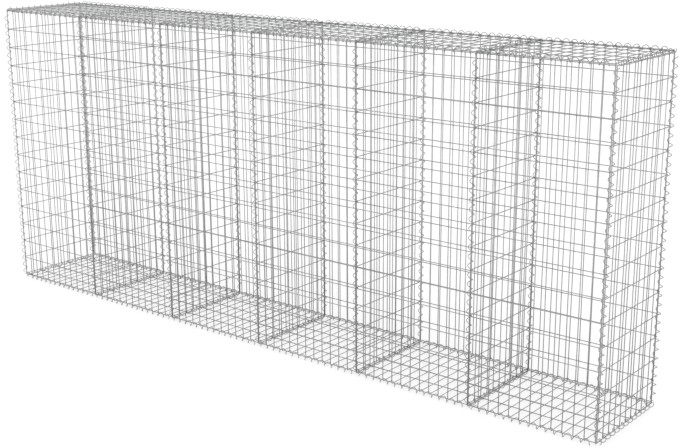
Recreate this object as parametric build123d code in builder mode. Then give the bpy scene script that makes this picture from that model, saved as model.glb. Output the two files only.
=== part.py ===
from build123d import *
from math import asin, cos, floor, pi, radians, sin, sqrt, tan
import os

os.makedirs("parts", exist_ok=True)

# A gabion wall cage: six bays of welded mesh, laced along every edge with coiled wire.
# Length runs along X, the front looks along -Y, and the cage stands on its lowest coils.
# All sizes are in millimetres.

# Mesh grid. A cell is twice as tall as wide, so the wires of neighbouring panels line up.
CELL = 50.0
TALL_CELL = 2 * CELL
BAYS = 6
BAY_CELLS = 12
DEPTH_TALL_CELLS = 5
HEIGHT_TALL_CELLS = 15

# Wire. Each round wire is a square bar with the same amount of metal.
MESH_WIRE = 4.0
COIL_WIRE = 3.0
SQUARE_SIDE = sqrt(pi) / 2
BAR = MESH_WIRE * SQUARE_SIDE
COIL_BAR = COIL_WIRE * SQUARE_SIDE

# Edge wires of neighbouring panels lie side by side, this far apart.
EDGE_GAP = 0.1
EDGE_STEP = MESH_WIRE + EDGE_GAP

# Lacing coils. One side of a square loop climbs a fifth of a cell, so that each side passes
# midway between two wires. At this slope a mitred square bar rolls by exactly 45 degrees at
# each corner, so every second side of a loop lies flat.
CLIMB = CELL / 5
SLOPE = asin(sqrt(2) - 1)
COIL_RADIUS = CLIMB / (2 * tan(SLOPE))
COIL_REACH = COIL_RADIUS + COIL_BAR / 2
# The wires that a loop passes lie half a bar beside the loop's own axis.
SKEW = BAR / 2 * tan(SLOPE)
# Bare length at each end of a lengthwise coil, which leaves the corner to its neighbours.
BARE_CLIMBS = 2

# Panel sizes, from the middle of one edge wire to the middle of the other.
BAY_WIDTH = BAY_CELLS * CELL
DEPTH = DEPTH_TALL_CELLS * TALL_CELL
HEIGHT = HEIGHT_TALL_CELLS * TALL_CELL

# Places of the weld planes, where the two layers of wire in a panel meet.
BAY_STEP = BAY_WIDTH + EDGE_STEP
FACE_Y = DEPTH / 2 + EDGE_STEP + BAR / 2
END_X = BAYS * BAY_STEP / 2 + EDGE_STEP / 2 + BAR / 2
FLOOR_Z = COIL_REACH
PANEL_FOOT = FLOOR_Z + BAR / 2 + EDGE_STEP
LID_Z = PANEL_FOOT + HEIGHT + EDGE_STEP + BAR / 2


def welded_mesh(cells_wide, tall_cells):
    """A flat mesh panel standing on z = 0, uprights behind y = 0 and cross wires before it."""
    width = cells_wide * CELL
    height = tall_cells * TALL_CELL
    rows = [(-BAR / 2, row * TALL_CELL) for row in range(tall_cells + 1)]
    with BuildPart() as mesh:
        with BuildSketch(Plane.XY.offset(-BAR / 2)):
            with Locations((0, BAR / 2)):
                with GridLocations(CELL, CELL, cells_wide + 1, 1):
                    Rectangle(BAR, BAR)
        extrude(amount=height + BAR)
        with BuildSketch(Plane.YZ.offset(-(width + BAR) / 2)):
            with Locations(*rows):
                Rectangle(BAR, BAR)
        extrude(amount=width + BAR)
    return mesh.part


def lacing_coil(sides):
    """A coil of square loops that climbs from z = 0, with a first side at +x."""
    corner_radius = COIL_RADIUS * sqrt(2)
    corners = []
    for side in range(sides + 1):
        angle = radians(90 * side - 45)
        corners.append((corner_radius * cos(angle), corner_radius * sin(angle), side * CLIMB))
    with BuildPart() as coil:
        with BuildLine() as path:
            Polyline(*corners)
        start = Plane(origin=path.line @ 0, x_dir=(1, 0, 0), z_dir=path.line % 0)
        with BuildSketch(start):
            Rectangle(COIL_BAR, COIL_BAR)
        sweep(transition=Transition.RIGHT)
    return coil.part


def save(name, pieces):
    """Write one named node, made of one solid or of several that do not touch."""
    solids = [solid for piece in pieces for solid in piece.solids()]
    node = solids[0] if len(solids) == 1 else Compound(solids)
    node.label = name
    export_step(node, f"parts/{name}.step", write_pcurves=False)


# Panels: three kinds of mesh serve every place in the cage.
face_mesh = welded_mesh(BAY_CELLS, HEIGHT_TALL_CELLS)
depth_mesh = welded_mesh(2 * DEPTH_TALL_CELLS, HEIGHT_TALL_CELLS)
flat_mesh = welded_mesh(BAY_CELLS, DEPTH_TALL_CELLS)

bay_middles = [(bay - (BAYS - 1) / 2) * BAY_STEP for bay in range(BAYS)]

for number, x in enumerate(bay_middles, start=1):
    front = Plane((x, -FACE_Y, PANEL_FOOT))
    back = Plane((x, FACE_Y, PANEL_FOOT), x_dir=(-1, 0, 0))
    floor_place = Plane((x, -DEPTH / 2, FLOOR_Z), z_dir=(0, 1, 0), x_dir=(1, 0, 0))
    lid_place = Plane((x, DEPTH / 2, LID_Z), z_dir=(0, -1, 0), x_dir=(1, 0, 0))
    save(f"front_panel_{number}", [front * face_mesh])
    save(f"back_panel_{number}", [back * face_mesh])
    save(f"floor_panel_{number}", [floor_place * flat_mesh])
    save(f"lid_panel_{number}", [lid_place * flat_mesh])

# Ends and partitions stand across the wall. Only the right end has its cross wires on the
# right, so that both ends show their cross wires outside.
partition_xs = [(cut - BAYS / 2) * BAY_STEP - BAR / 2 for cut in range(1, BAYS)]
cross_places = [(-END_X, -1)] + [(x, -1) for x in partition_xs] + [(END_X, 1)]
cross_names = ["end_left"] + [f"partition_{cut}" for cut in range(1, BAYS)] + ["end_right"]

for name, (x, outside) in zip(cross_names, cross_places):
    place = Plane((x, 0, PANEL_FOOT), x_dir=(0, outside, 0))
    save(name, [place * depth_mesh])

# Coils: as many loop sides as each edge has room for.
long_coil = lacing_coil(floor(BAY_WIDTH / CLIMB) - 2 * BARE_CLIMBS)
post_coil = lacing_coil(floor(HEIGHT / CLIMB) - 3)
cross_coil = lacing_coil(floor(DEPTH / CLIMB) - 1)

for y_name, y_side in (("front", -1), ("back", 1)):
    # Upright coils start above the cross coils of the floor and stop below those of the lid.
    posts = []
    for x, outside in cross_places:
        start = CLIMB - SKEW if y_side == outside else 2 * CLIMB + SKEW
        posts.append(Plane((x, y_side * FACE_Y, PANEL_FOOT + start)) * post_coil)
    save(f"{y_name}_post_coils", posts)

    for z_name, z, z_side in (("floor", FLOOR_Z, -1), ("lid", LID_Z, 1)):
        start = BARE_CLIMBS * CLIMB + (SKEW if y_side == z_side else -SKEW)
        edges = []
        for x in bay_middles:
            corner = (x - BAY_WIDTH / 2 + start, y_side * FACE_Y, z)
            edges.append(Plane(corner, x_dir=(0, 0, -1), z_dir=(1, 0, 0)) * long_coil)
        save(f"{z_name}_{y_name}_coils", edges)

for z_name, z, z_side in (("floor", FLOOR_Z, -1), ("lid", LID_Z, 1)):
    crossings = []
    for x, outside in cross_places:
        start = -SKEW if z_side == outside else CLIMB + SKEW
        corner = (x, start - DEPTH / 2, z)
        crossings.append(Plane(corner, x_dir=(0, 0, -1), z_dir=(0, 1, 0)) * cross_coil)
    save(f"{z_name}_cross_coils", crossings)
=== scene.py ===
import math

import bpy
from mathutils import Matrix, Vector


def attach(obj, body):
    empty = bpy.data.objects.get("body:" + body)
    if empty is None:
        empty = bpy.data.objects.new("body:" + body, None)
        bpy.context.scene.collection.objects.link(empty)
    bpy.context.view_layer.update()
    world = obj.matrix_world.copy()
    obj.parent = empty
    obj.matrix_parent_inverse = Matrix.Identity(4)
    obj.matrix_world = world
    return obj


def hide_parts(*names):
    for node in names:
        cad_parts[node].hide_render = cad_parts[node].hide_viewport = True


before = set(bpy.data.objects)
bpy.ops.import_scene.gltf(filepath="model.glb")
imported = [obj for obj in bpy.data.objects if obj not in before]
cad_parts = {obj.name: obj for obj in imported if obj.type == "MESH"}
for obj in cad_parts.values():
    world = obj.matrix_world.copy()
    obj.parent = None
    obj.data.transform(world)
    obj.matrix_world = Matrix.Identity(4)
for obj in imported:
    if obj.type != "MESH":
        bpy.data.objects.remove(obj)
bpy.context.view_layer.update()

# %% [markdown]
# # A gabion wall, wire by wire
# A gabion wall is a cage of stiff steel mesh that is filled with stones on site. This one is
# empty, so nothing hides its wires: every panel, partition, floor, lid and lacing coil shows.
# The frame that came in holds the cage with plain square wires. This lesson puts round,
# galvanised wire in its place, lights it softly and sets the camera.

MM = 0.001
scene = bpy.context.scene
print("frame nodes:", len(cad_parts))

# %% [markdown]
# ## Measurements
# The mesh has cells 50 mm wide and 100 mm tall, welded from 4 mm wire. The lacing coils are of
# 3 mm wire, 25 mm wide over the wire, with 40 mm from turn to turn. Each panel has two layers of
# wire that touch at its weld plane, so a panel is placed by that plane. The sizes are written
# once, and everything below is placed from them.

# %% Sizes of the cage
CELL = 50 * MM
TALL_CELL = 100 * MM
BAYS = 6
BAY_CELLS = 12
DEPTH_CELLS = 10
HEIGHT_CELLS = 15
MESH_WIRE = 4.0 * MM
COIL_WIRE = 3.0 * MM
WELD_BEAD = 5.4 * MM
# Edge wires of neighbouring panels lie side by side, from middle to middle this far apart.
EDGE_STEP = 4.1 * MM

# The plain frame has square bars with the same amount of metal as the round wires.
SQUARE_SIDE = math.sqrt(math.pi) / 2
BAR = MESH_WIRE * SQUARE_SIDE
# A quarter turn of a coil climbs a fifth of a cell. The plain frame's coils are square, with
# sides at this slope, and the round ones reach as far out.
CLIMB = CELL / 5
SLOPE = math.asin(math.sqrt(2) - 1)
COIL_REACH = CLIMB / (2 * math.tan(SLOPE)) + COIL_WIRE * SQUARE_SIDE / 2
COIL_RADIUS = COIL_REACH - COIL_WIRE / 2
COIL_PITCH = 4 * CLIMB

BAY_WIDTH = BAY_CELLS * CELL
DEPTH = DEPTH_CELLS * CELL
HEIGHT = HEIGHT_CELLS * TALL_CELL
BAY_STEP = BAY_WIDTH + EDGE_STEP
FACE_Y = DEPTH / 2 + EDGE_STEP + BAR / 2
END_X = BAYS * BAY_STEP / 2 + EDGE_STEP / 2 + BAR / 2
FLOOR_Z = COIL_REACH
PANEL_FOOT = FLOOR_Z + BAR / 2 + EDGE_STEP
LID_Z = PANEL_FOOT + HEIGHT + EDGE_STEP + BAR / 2
bay_middles = [(bay - (BAYS - 1) / 2) * BAY_STEP for bay in range(BAYS)]
print("mesh", round(2 * END_X, 3), "x", round(2 * FACE_Y, 3), "x", round(LID_Z - FLOOR_Z, 3), "m")

# %% [markdown]
# ## Galvanised wire
# Wire for gabions is dipped in zinc. From close by the coat is mid-grey with faint lighter and
# darker patches, where the zinc cooled into crystals, and it has tiny drips and dull spots, so
# its shine is broken and soft. An image would stretch along thin wire, so noise in object
# space makes the patches: one wide noise for the dull areas, one fine one for crystals, and a
# small bump for the drips. All of it is the same zinc, but light and shade are painted into three
# greys: the uprights are painted palest, as if lit from the side, the cross wires welded over
# them are painted darker, as shade, and the coils, bent from finer wire, are painted darkest.

# %% A zinc coat
METALLIC = 0.3
PATCHES_PER_METRE = 14
CRYSTALS_PER_METRE = 260
DRIPS_PER_METRE = 420
CRYSTAL_SHARE = 0.45
DRIP_HEIGHT = 0.2 * MM


def zinc(name, dull, bright, roughness):
    """A galvanised coat between two greys, with noise for patches, crystals and drips."""
    material = bpy.data.materials.new(name)
    material.use_nodes = True
    nodes, links = material.node_tree.nodes, material.node_tree.links
    coat = nodes["Principled BSDF"]
    coat.inputs["Metallic"].default_value = METALLIC

    place = nodes.new("ShaderNodeTexCoord")
    patches = nodes.new("ShaderNodeTexNoise")
    patches.inputs["Scale"].default_value = PATCHES_PER_METRE
    patches.inputs["Detail"].default_value = 3
    crystals = nodes.new("ShaderNodeTexVoronoi")
    crystals.inputs["Scale"].default_value = CRYSTALS_PER_METRE
    drips = nodes.new("ShaderNodeTexNoise")
    drips.inputs["Scale"].default_value = DRIPS_PER_METRE
    for texture in (patches, crystals, drips):
        links.new(place.outputs["Object"], texture.inputs["Vector"])

    mixed = nodes.new("ShaderNodeMath")
    mixed.operation = "MULTIPLY_ADD"
    mixed.inputs[1].default_value = CRYSTAL_SHARE
    links.new(crystals.outputs["Distance"], mixed.inputs[0])
    links.new(patches.outputs["Fac"], mixed.inputs[2])
    shade = nodes.new("ShaderNodeValToRGB")
    shade.color_ramp.elements[0].position = 0.3
    shade.color_ramp.elements[0].color = (*dull, 1)
    shade.color_ramp.elements[1].position = 0.85
    shade.color_ramp.elements[1].color = (*bright, 1)
    links.new(mixed.outputs["Value"], shade.inputs["Fac"])
    links.new(shade.outputs["Color"], coat.inputs["Base Color"])

    shine = nodes.new("ShaderNodeMapRange")
    shine.inputs["To Min"].default_value = roughness - 0.1
    shine.inputs["To Max"].default_value = roughness + 0.12
    links.new(patches.outputs["Fac"], shine.inputs["Value"])
    links.new(shine.outputs["Result"], coat.inputs["Roughness"])

    relief = nodes.new("ShaderNodeBump")
    relief.inputs["Strength"].default_value = 0.25
    relief.inputs["Distance"].default_value = DRIP_HEIGHT
    links.new(drips.outputs["Fac"], relief.inputs["Height"])
    links.new(relief.outputs["Normal"], coat.inputs["Normal"])
    print("material", name)
    return material


# Painted light and shade: the same zinc in a lit grey for the uprights and a shaded grey for the
# cross wires and beads.
zinc_painted_lit_upright = zinc("zinc_painted_lit_upright", (0.30, 0.305, 0.31), (0.48, 0.485, 0.49), 0.48)
zinc_painted_shade_cross = zinc("zinc_painted_shade_cross", (0.24, 0.245, 0.25), (0.40, 0.405, 0.41), 0.48)
# Painted shade: the coils get the darkest grey of the same zinc.
zinc_painted_shade_coil = zinc("zinc_painted_shade_coil", (0.20, 0.205, 0.21), (0.34, 0.345, 0.35), 0.42)

# %% [markdown]
# ## One tree of nodes for welded mesh
# Welded mesh is two layers of straight wire: uprights behind the weld plane and cross wires in
# front of it. Where they cross, the welder melts them a little way into each other and squeezes
# out a small bead. Modelling 765 wires and 4,664 beads one by one would take for ever, and an
# Array modifier can't do both directions at once. Geometry Nodes can: two rows of points carry
# the two kinds of wire, and a grid of points carries the beads. One tree serves every panel,
# because its width, height and cell sizes are inputs.

# %% Small helpers for building trees
def new_tree(name, inputs):
    """An empty geometry tree with named inputs, and the nodes it starts and ends with."""
    tree = bpy.data.node_groups.new(name, "GeometryNodeTree")
    for label, kind in inputs:
        tree.interface.new_socket(label, in_out="INPUT", socket_type=kind)
    tree.interface.new_socket("Geometry", in_out="OUTPUT", socket_type="NodeSocketGeometry")
    start = tree.nodes.new("NodeGroupInput")
    end = tree.nodes.new("NodeGroupOutput")
    return tree, start, end


def feed(tree, node, values):
    """Give the first inputs of a node these values, each a socket or a number."""
    for slot, value in zip(node.inputs, values):
        if isinstance(value, (int, float)):
            slot.default_value = value
        else:
            tree.links.new(value, slot)


def math_node(tree, operation, first, second):
    """The result of a Math node on two sockets or numbers."""
    node = tree.nodes.new("ShaderNodeMath")
    node.operation = operation
    feed(tree, node, (first, second))
    return node.outputs["Value"]


def vector_of(tree, x, y, z):
    """A vector from three sockets or numbers."""
    node = tree.nodes.new("ShaderNodeCombineXYZ")
    feed(tree, node, (x, y, z))
    return node.outputs["Vector"]


def with_finish(tree, geometry, finish):
    """The same geometry in the material of a socket."""
    node = tree.nodes.new("GeometryNodeSetMaterial")
    tree.links.new(geometry, node.inputs["Geometry"])
    tree.links.new(finish, node.inputs["Material"])
    return node.outputs["Geometry"]


# %% Rows of wire
WIRE_SIDES = 10


def straight_row(tree, count, step, first, length, thickness, turn, finish):
    """Straight round wires of one finish: count of them, from first on, each a step further."""
    row = tree.nodes.new("GeometryNodeMeshLine")
    tree.links.new(count, row.inputs["Count"])
    tree.links.new(step, row.inputs["Offset"])
    tree.links.new(first, row.inputs["Start Location"])
    wire = tree.nodes.new("GeometryNodeMeshCylinder")
    wire.inputs["Vertices"].default_value = WIRE_SIDES
    tree.links.new(math_node(tree, "MULTIPLY", thickness, 0.5), wire.inputs["Radius"])
    tree.links.new(length, wire.inputs["Depth"])
    coated = with_finish(tree, wire.outputs["Mesh"], finish)
    laid = tree.nodes.new("GeometryNodeInstanceOnPoints")
    tree.links.new(row.outputs["Mesh"], laid.inputs["Points"])
    tree.links.new(coated, laid.inputs["Instance"])
    laid.inputs["Rotation"].default_value = turn
    return laid.outputs["Instances"]


# %% The welded mesh tree
def welded_mesh_tree():
    """Uprights behind y = 0, cross wires before it, and a bead at every crossing."""
    tree, start, end = new_tree(
        "welded_mesh",
        (
            ("Cells wide", "NodeSocketInt"),
            ("Cells tall", "NodeSocketInt"),
            ("Cell width", "NodeSocketFloat"),
            ("Cell height", "NodeSocketFloat"),
            ("Wire", "NodeSocketFloat"),
            ("Layer", "NodeSocketFloat"),
            ("Bead", "NodeSocketFloat"),
            ("Upright painted light", "NodeSocketMaterial"),
            ("Cross painted shade", "NodeSocketMaterial"),
        ),
    )
    given = start.outputs
    uprights_count = math_node(tree, "ADD", given["Cells wide"], 1)
    cross_count = math_node(tree, "ADD", given["Cells tall"], 1)
    width = math_node(tree, "MULTIPLY", given["Cells wide"], given["Cell width"])
    height = math_node(tree, "MULTIPLY", given["Cells tall"], given["Cell height"])
    left_edge = math_node(tree, "MULTIPLY", width, -0.5)
    half_height = math_node(tree, "MULTIPLY", height, 0.5)
    behind = math_node(tree, "MULTIPLY", given["Layer"], 0.5)
    before = math_node(tree, "MULTIPLY", given["Layer"], -0.5)
    upright_length = math_node(tree, "ADD", height, given["Layer"])
    cross_length = math_node(tree, "ADD", width, given["Layer"])

    uprights = straight_row(
        tree,
        count=uprights_count,
        step=vector_of(tree, given["Cell width"], 0, 0),
        first=vector_of(tree, left_edge, behind, half_height),
        length=upright_length,
        thickness=given["Wire"],
        turn=(0, 0, 0),
        finish=given["Upright painted light"],
    )
    cross_wires = straight_row(
        tree,
        count=cross_count,
        step=vector_of(tree, 0, 0, given["Cell height"]),
        first=vector_of(tree, 0, before, 0),
        length=cross_length,
        thickness=given["Wire"],
        turn=(0, math.radians(90), 0),
        finish=given["Cross painted shade"],
    )

    crossings = tree.nodes.new("GeometryNodeMeshGrid")
    tree.links.new(width, crossings.inputs["Size X"])
    tree.links.new(height, crossings.inputs["Size Y"])
    tree.links.new(uprights_count, crossings.inputs["Vertices X"])
    tree.links.new(cross_count, crossings.inputs["Vertices Y"])
    stand = tree.nodes.new("GeometryNodeTransform")
    tree.links.new(crossings.outputs["Mesh"], stand.inputs["Geometry"])
    stand.inputs["Rotation"].default_value = (math.radians(90), 0, 0)
    tree.links.new(vector_of(tree, 0, 0, half_height), stand.inputs["Translation"])
    bead = tree.nodes.new("GeometryNodeMeshUVSphere")
    bead.inputs["Segments"].default_value = 6
    bead.inputs["Rings"].default_value = 4
    tree.links.new(math_node(tree, "MULTIPLY", given["Bead"], 0.5), bead.inputs["Radius"])
    beads = tree.nodes.new("GeometryNodeInstanceOnPoints")
    coated = with_finish(tree, bead.outputs["Mesh"], given["Cross painted shade"])
    tree.links.new(stand.outputs["Geometry"], beads.inputs["Points"])
    tree.links.new(coated, beads.inputs["Instance"])
    beads.inputs["Scale"].default_value = (1.0, 0.5, 1.0)

    together = tree.nodes.new("GeometryNodeJoinGeometry")
    for layer in (uprights, cross_wires, beads.outputs["Instances"]):
        tree.links.new(layer, together.inputs["Geometry"])
    real = tree.nodes.new("GeometryNodeRealizeInstances")
    tree.links.new(together.outputs["Geometry"], real.inputs["Geometry"])
    tree.links.new(real.outputs["Geometry"], end.inputs["Geometry"])
    print("tree welded_mesh:", len(tree.nodes), "nodes")
    return tree


mesh_tree = welded_mesh_tree()

# %% [markdown]
# ## From tree to plain mesh
# A modifier holds the tree and its inputs, the evaluated object gives the finished wires, and
# new_from_object keeps them as an ordinary mesh. Each input is set by its identifier, which
# stays the same even where a name doesn't. The modifier goes once the mesh is kept.

# %% Growing a mesh from a tree
def grow(name, tree, values):
    """The plain mesh that a tree makes with these named inputs."""
    seed = bpy.data.objects.new(name, bpy.data.meshes.new(name))
    scene.collection.objects.link(seed)
    modifier = seed.modifiers.new("grow", "NODES")
    modifier.node_group = tree
    for item in tree.interface.items_tree:
        if item.in_out == "INPUT":
            modifier[item.identifier] = values[item.name]
    ready = seed.evaluated_get(bpy.context.evaluated_depsgraph_get())
    made = bpy.data.meshes.new_from_object(ready)
    seed.modifiers.remove(modifier)
    bpy.data.objects.remove(seed)
    made.name = name
    print(name, "has", len(made.polygons), "faces")
    return made


# %% Three kinds of panel
def panel_mesh(name, cells_wide, cells_tall):
    """A welded panel that stands on z = 0, centred on x, with its weld plane at y = 0."""
    return grow(
        name,
        mesh_tree,
        {
            "Cells wide": cells_wide,
            "Cells tall": cells_tall,
            "Cell width": CELL,
            "Cell height": TALL_CELL,
            "Wire": MESH_WIRE,
            "Layer": BAR,
            "Bead": WELD_BEAD,
            # The uprights take the zinc painted pale, as lit; the cross wires and beads take the
            # zinc painted darker, as shade.
            "Upright painted light": zinc_painted_lit_upright,
            "Cross painted shade": zinc_painted_shade_cross,
        },
    )


face_mesh = panel_mesh("face_mesh", BAY_CELLS, HEIGHT_CELLS)
depth_mesh = panel_mesh("depth_mesh", DEPTH_CELLS, HEIGHT_CELLS)
flat_mesh = panel_mesh("flat_mesh", BAY_CELLS, round(DEPTH / TALL_CELL))

# %% [markdown]
# ## Putting the panels in place
# Every piece is kept with its object at the origin and its place in its mesh, so that patterns
# in object space run on from panel to panel. A place is written as where the piece's own
# left-to-right and up directions point in the cage.

# %% Placing a piece
def axes(origin, across, up):
    """A matrix that puts local x along across and local z along up, at origin."""
    x, z = Vector(across), Vector(up)
    y = z.cross(x)
    turn = Matrix((x, y, z)).transposed().to_4x4()
    return Matrix.Translation(Vector(origin)) @ turn


def put(name, mesh, places, node):
    """One object from copies of a mesh, in place of a node of the frame."""
    joined = bpy.data.meshes.new(name)
    # The tree leaves an empty material slot before its own, so the faces' numbers are recounted.
    finishes = [material for material in mesh.materials if material]
    finish_of = [finishes.index(material) if material else 0 for material in mesh.materials]
    vertices, faces, worn = [], [], []
    for place in places:
        first = len(vertices)
        vertices.extend(place @ vertex.co for vertex in mesh.vertices)
        for face in mesh.polygons:
            faces.append([first + corner for corner in face.vertices])
            worn.append(finish_of[face.material_index])
    joined.from_pydata(vertices, [], faces)
    for finish in finishes:
        joined.materials.append(finish)
    joined.polygons.foreach_set("material_index", worn)
    joined.polygons.foreach_set("use_smooth", [True] * len(faces))
    joined.update()
    piece = bpy.data.objects.new(name, joined)
    scene.collection.objects.link(piece)
    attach(piece, "root")
    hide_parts(node)


# %% Faces, backs, floors and lids
for number, x in enumerate(bay_middles, start=1):
    front = axes((x, -FACE_Y, PANEL_FOOT), (1, 0, 0), (0, 0, 1))
    back = axes((x, FACE_Y, PANEL_FOOT), (-1, 0, 0), (0, 0, 1))
    floor_place = axes((x, -DEPTH / 2, FLOOR_Z), (1, 0, 0), (0, 1, 0))
    lid_place = axes((x, DEPTH / 2, LID_Z), (1, 0, 0), (0, -1, 0))
    for kind, mesh, place in (
        ("front_panel", face_mesh, front),
        ("back_panel", face_mesh, back),
        ("floor_panel", flat_mesh, floor_place),
        ("lid_panel", flat_mesh, lid_place),
    ):
        node = f"{kind}_{number}"
        put(f"wire_{node}", mesh, [place], node)
print("panels round the bays:", 4 * BAYS)

# %% [markdown]
# ## Partitions and ends
# A partition keeps one bay's stones from leaning on the next bay's. It is the same mesh as an
# end, turned across the wall. The cross wires of both ends face outside.

# %% Partitions and ends
partition_xs = [(cut - BAYS / 2) * BAY_STEP - BAR / 2 for cut in range(1, BAYS)]
cross_places = [(-END_X, -1)] + [(x, -1) for x in partition_xs] + [(END_X, 1)]
cross_names = ["end_left"] + [f"partition_{cut}" for cut in range(1, BAYS)] + ["end_right"]
for node, (x, outside) in zip(cross_names, cross_places):
    place = axes((x, 0, PANEL_FOOT), (0, outside, 0), (0, 0, 1))
    put(f"wire_{node}", depth_mesh, [place], node)
print("partitions and ends:", len(cross_names))

# %% [markdown]
# ## Lacing coils
# The panels are joined on site by screwing a long spiral of wire along each edge, so that every
# turn passes round the edge wires of all the panels that meet there. A Screw modifier would
# turn a profile but leave it skewed; a spiral curve with a round profile swept along it stays
# round. The pitch is tuned to the mesh: a quarter turn is a fifth of a cell, so the spiral
# always passes midway between two wires and never cuts through one.

# %% The coil tree
POINTS_PER_TURN = 18
COIL_SIDES = 7


def lacing_tree():
    """A round wire wound round z, climbing from z = 0, with closed ends."""
    tree, start, end = new_tree(
        "lacing_coil",
        (
            ("Turns", "NodeSocketFloat"),
            ("Pitch", "NodeSocketFloat"),
            ("Radius", "NodeSocketFloat"),
            ("Wire", "NodeSocketFloat"),
            ("Finish", "NodeSocketMaterial"),
        ),
    )
    given = start.outputs
    spiral = tree.nodes.new("GeometryNodeCurveSpiral")
    spiral.inputs["Resolution"].default_value = POINTS_PER_TURN
    tree.links.new(given["Turns"], spiral.inputs["Rotations"])
    tree.links.new(given["Radius"], spiral.inputs["Start Radius"])
    tree.links.new(given["Radius"], spiral.inputs["End Radius"])
    rise = math_node(tree, "MULTIPLY", given["Turns"], given["Pitch"])
    tree.links.new(rise, spiral.inputs["Height"])
    profile = tree.nodes.new("GeometryNodeCurvePrimitiveCircle")
    profile.inputs["Resolution"].default_value = COIL_SIDES
    tree.links.new(math_node(tree, "MULTIPLY", given["Wire"], 0.5), profile.inputs["Radius"])
    wound = tree.nodes.new("GeometryNodeCurveToMesh")
    tree.links.new(spiral.outputs["Curve"], wound.inputs["Curve"])
    tree.links.new(profile.outputs["Curve"], wound.inputs["Profile Curve"])
    wound.inputs["Fill Caps"].default_value = True
    real = tree.nodes.new("GeometryNodeRealizeInstances")
    coated = with_finish(tree, wound.outputs["Mesh"], given["Finish"])
    tree.links.new(coated, real.inputs["Geometry"])
    tree.links.new(real.outputs["Geometry"], end.inputs["Geometry"])
    print("tree lacing_coil:", len(tree.nodes), "nodes")
    return tree


coil_tree = lacing_tree()


# %% Three lengths of coil
def coil_mesh(name, quarter_turns):
    """A coil for one edge, started an eighth of a turn before local x."""
    made = grow(
        name,
        coil_tree,
        {
            "Turns": quarter_turns / 4,
            "Pitch": COIL_PITCH,
            "Radius": COIL_RADIUS,
            "Wire": COIL_WIRE,
            # The coil takes the zinc painted darkest, as shade.
            "Finish": zinc_painted_shade_coil,
        },
    )
    made.transform(Matrix.Rotation(math.radians(-45), 4, "Z"))
    return made


# Each coil leaves room at its ends for the coils that it meets at the corner.
long_coil = coil_mesh("long_coil", round(BAY_WIDTH / CLIMB) - 4)
post_coil = coil_mesh("post_coil", round(HEIGHT / CLIMB) - 3)
cross_coil = coil_mesh("cross_coil", round(DEPTH / CLIMB) - 1)
# The wires that a coil passes lie half a bar beside its axis, so it starts this much off.
SKEW = COIL_PITCH * math.asin(BAR / 2 / COIL_RADIUS) / (2 * math.pi)
print("coil starts shift by", round(SKEW / MM, 2), "mm")

# %% Upright and lengthwise coils
for y_name, y_side in (("front", -1), ("back", 1)):
    posts = []
    for x, outside in cross_places:
        lift = CLIMB - SKEW if y_side == outside else 2 * CLIMB + SKEW
        posts.append(axes((x, y_side * FACE_Y, PANEL_FOOT + lift), (1, 0, 0), (0, 0, 1)))
    node = f"{y_name}_post_coils"
    put(f"wire_{node}", post_coil, posts, node)

    for z_name, z, z_side in (("floor", FLOOR_Z, -1), ("lid", LID_Z, 1)):
        lead = 2 * CLIMB + (SKEW if y_side == z_side else -SKEW)
        edges = []
        for x in bay_middles:
            corner = (x - BAY_WIDTH / 2 + lead, y_side * FACE_Y, z)
            edges.append(axes(corner, (0, 0, -1), (1, 0, 0)))
        node = f"{z_name}_{y_name}_coils"
        put(f"wire_{node}", long_coil, edges, node)
print("upright and lengthwise coils:", 2 * len(cross_places) + 4 * BAYS)

# %% Cross coils
for z_name, z, z_side in (("floor", FLOOR_Z, -1), ("lid", LID_Z, 1)):
    crossings = []
    for x, outside in cross_places:
        lead = -SKEW if z_side == outside else CLIMB + SKEW
        crossings.append(axes((x, lead - DEPTH / 2, z), (0, 0, -1), (0, 1, 0)))
    node = f"{z_name}_cross_coils"
    put(f"wire_{node}", cross_coil, crossings, node)
print("cross coils:", 2 * len(cross_places))

# %% [markdown]
# ## Floor and light
# The cage stands on a plain white floor. Thin wires are easiest to read on white, but more
# light would bleach them, so the white comes from the floor itself: rays from the camera see a
# little glow on top of its lit colour, and the shadow of the wires stays. Reflected rays see
# the glow too, so the zinc mirrors the same white. The lamps are suns with wide discs. They
# light the whole floor evenly and leave no hard highlights on the wires.

# %% A glow that only some rays see
def seen_directly(nodes, links):
    """A socket that is 1 for rays from the camera, from reflections and through glass."""
    path = nodes.new("ShaderNodeLightPath")
    either = nodes.new("ShaderNodeMath")
    either.operation = "ADD"
    links.new(path.outputs["Is Camera Ray"], either.inputs[0])
    links.new(path.outputs["Is Glossy Ray"], either.inputs[1])
    any_of = nodes.new("ShaderNodeMath")
    any_of.operation = "ADD"
    any_of.use_clamp = True
    links.new(either.outputs["Value"], any_of.inputs[0])
    links.new(path.outputs["Is Transmission Ray"], any_of.inputs[1])
    return any_of.outputs["Value"]


# %% White floor
FLOOR_HALF = 60
FLOOR_GREY = 0.4
FLOOR_GLOW = 0.66
corners = [(FLOOR_HALF * x, FLOOR_HALF * y, 0) for x, y in ((-1, -1), (1, -1), (1, 1), (-1, 1))]
floor_mesh = bpy.data.meshes.new("studio_floor")
floor_mesh.from_pydata(corners, [], [(0, 1, 2, 3)])
studio_floor = bpy.data.objects.new("studio_floor", floor_mesh)
scene.collection.objects.link(studio_floor)
floor_white = bpy.data.materials.new("floor_white")
floor_white.use_nodes = True
nodes, links = floor_white.node_tree.nodes, floor_white.node_tree.links
nodes.remove(nodes["Principled BSDF"])
matt = nodes.new("ShaderNodeBsdfDiffuse")
matt.inputs["Color"].default_value = (FLOOR_GREY, FLOOR_GREY, FLOOR_GREY, 1)
glow = nodes.new("ShaderNodeEmission")
glow_level = nodes.new("ShaderNodeMath")
glow_level.operation = "MULTIPLY"
glow_level.inputs[1].default_value = FLOOR_GLOW
links.new(seen_directly(nodes, links), glow_level.inputs[0])
links.new(glow_level.outputs["Value"], glow.inputs["Strength"])
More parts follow.
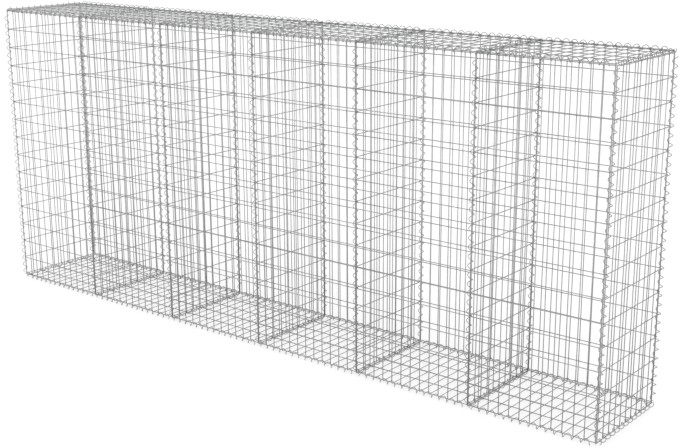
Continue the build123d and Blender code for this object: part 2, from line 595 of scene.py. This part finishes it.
both = nodes.new("ShaderNodeAddShader")
links.new(matt.outputs["BSDF"], both.inputs[0])
links.new(glow.outputs["Emission"], both.inputs[1])
links.new(both.outputs["Shader"], nodes["Material Output"].inputs["Surface"])
floor_mesh.materials.append(floor_white)
print("floor glow", FLOOR_GLOW)

# %% World and lamps
SKY_ON_OBJECTS = 0.75
SKY_SEEN = 1.0
world = bpy.data.worlds.new("studio")
scene.world = world
world.use_nodes = True
nodes, links = world.node_tree.nodes, world.node_tree.links
sky = nodes["Background"]
sky.inputs["Color"].default_value = (1, 1, 1, 1)
sky_level = nodes.new("ShaderNodeMapRange")
sky_level.inputs["To Min"].default_value = SKY_ON_OBJECTS
sky_level.inputs["To Max"].default_value = SKY_SEEN
links.new(seen_directly(nodes, links), sky_level.inputs["Value"])
links.new(sky_level.outputs["Result"], sky.inputs["Strength"])


def soft_sun(name, towards, strength, disc_degrees):
    """A sun lamp that shines along towards."""
    lamp = bpy.data.lights.new(name, "SUN")
    lamp.energy = strength
    lamp.angle = math.radians(disc_degrees)
    holder = bpy.data.objects.new(name, lamp)
    scene.collection.objects.link(holder)
    holder.matrix_world = Vector(towards).to_track_quat("-Z", "Y").to_matrix().to_4x4()
    print("sun", name, strength)


soft_sun("key_sun", towards=(-0.7, 0.6, -0.5), strength=1.0, disc_degrees=50)
soft_sun("side_sun", towards=(0.6, 0.5, -0.6), strength=0.5, disc_degrees=60)

# %% [markdown]
# ## Camera
# The photograph looks at the long front and the right end from a little above the lid. A
# least-squares fit of 530 places where cross wires are seen gives the focal length, the place
# and the direction, with the lens centred.

# %% Camera
IMAGE_WIDTH = 679
SENSOR_WIDTH = 36
FOCAL_PIXELS = 1216.7
CAMERA_PLACE = (3.8048, -4.3436, 2.1311)
CAMERA_FORWARD = Vector((-0.6053, 0.75137, -0.26279)).normalized()
CAMERA_RIGHT = Vector((0.77954, 0.62634, -0.00471)).normalized()

camera_data = bpy.data.cameras.new("photo_camera")
camera_data.sensor_width = SENSOR_WIDTH
camera_data.lens = SENSOR_WIDTH * FOCAL_PIXELS / IMAGE_WIDTH
camera_data.clip_end = 200
camera = bpy.data.objects.new("photo_camera", camera_data)
scene.collection.objects.link(camera)
up = CAMERA_RIGHT.cross(CAMERA_FORWARD).normalized()
turn = Matrix((CAMERA_RIGHT, up, -CAMERA_FORWARD)).transposed().to_4x4()
camera.matrix_world = Matrix.Translation(CAMERA_PLACE) @ turn
scene.camera = camera
scene.view_settings.view_transform = "Standard"
print("lens", round(camera_data.lens, 1), "mm")
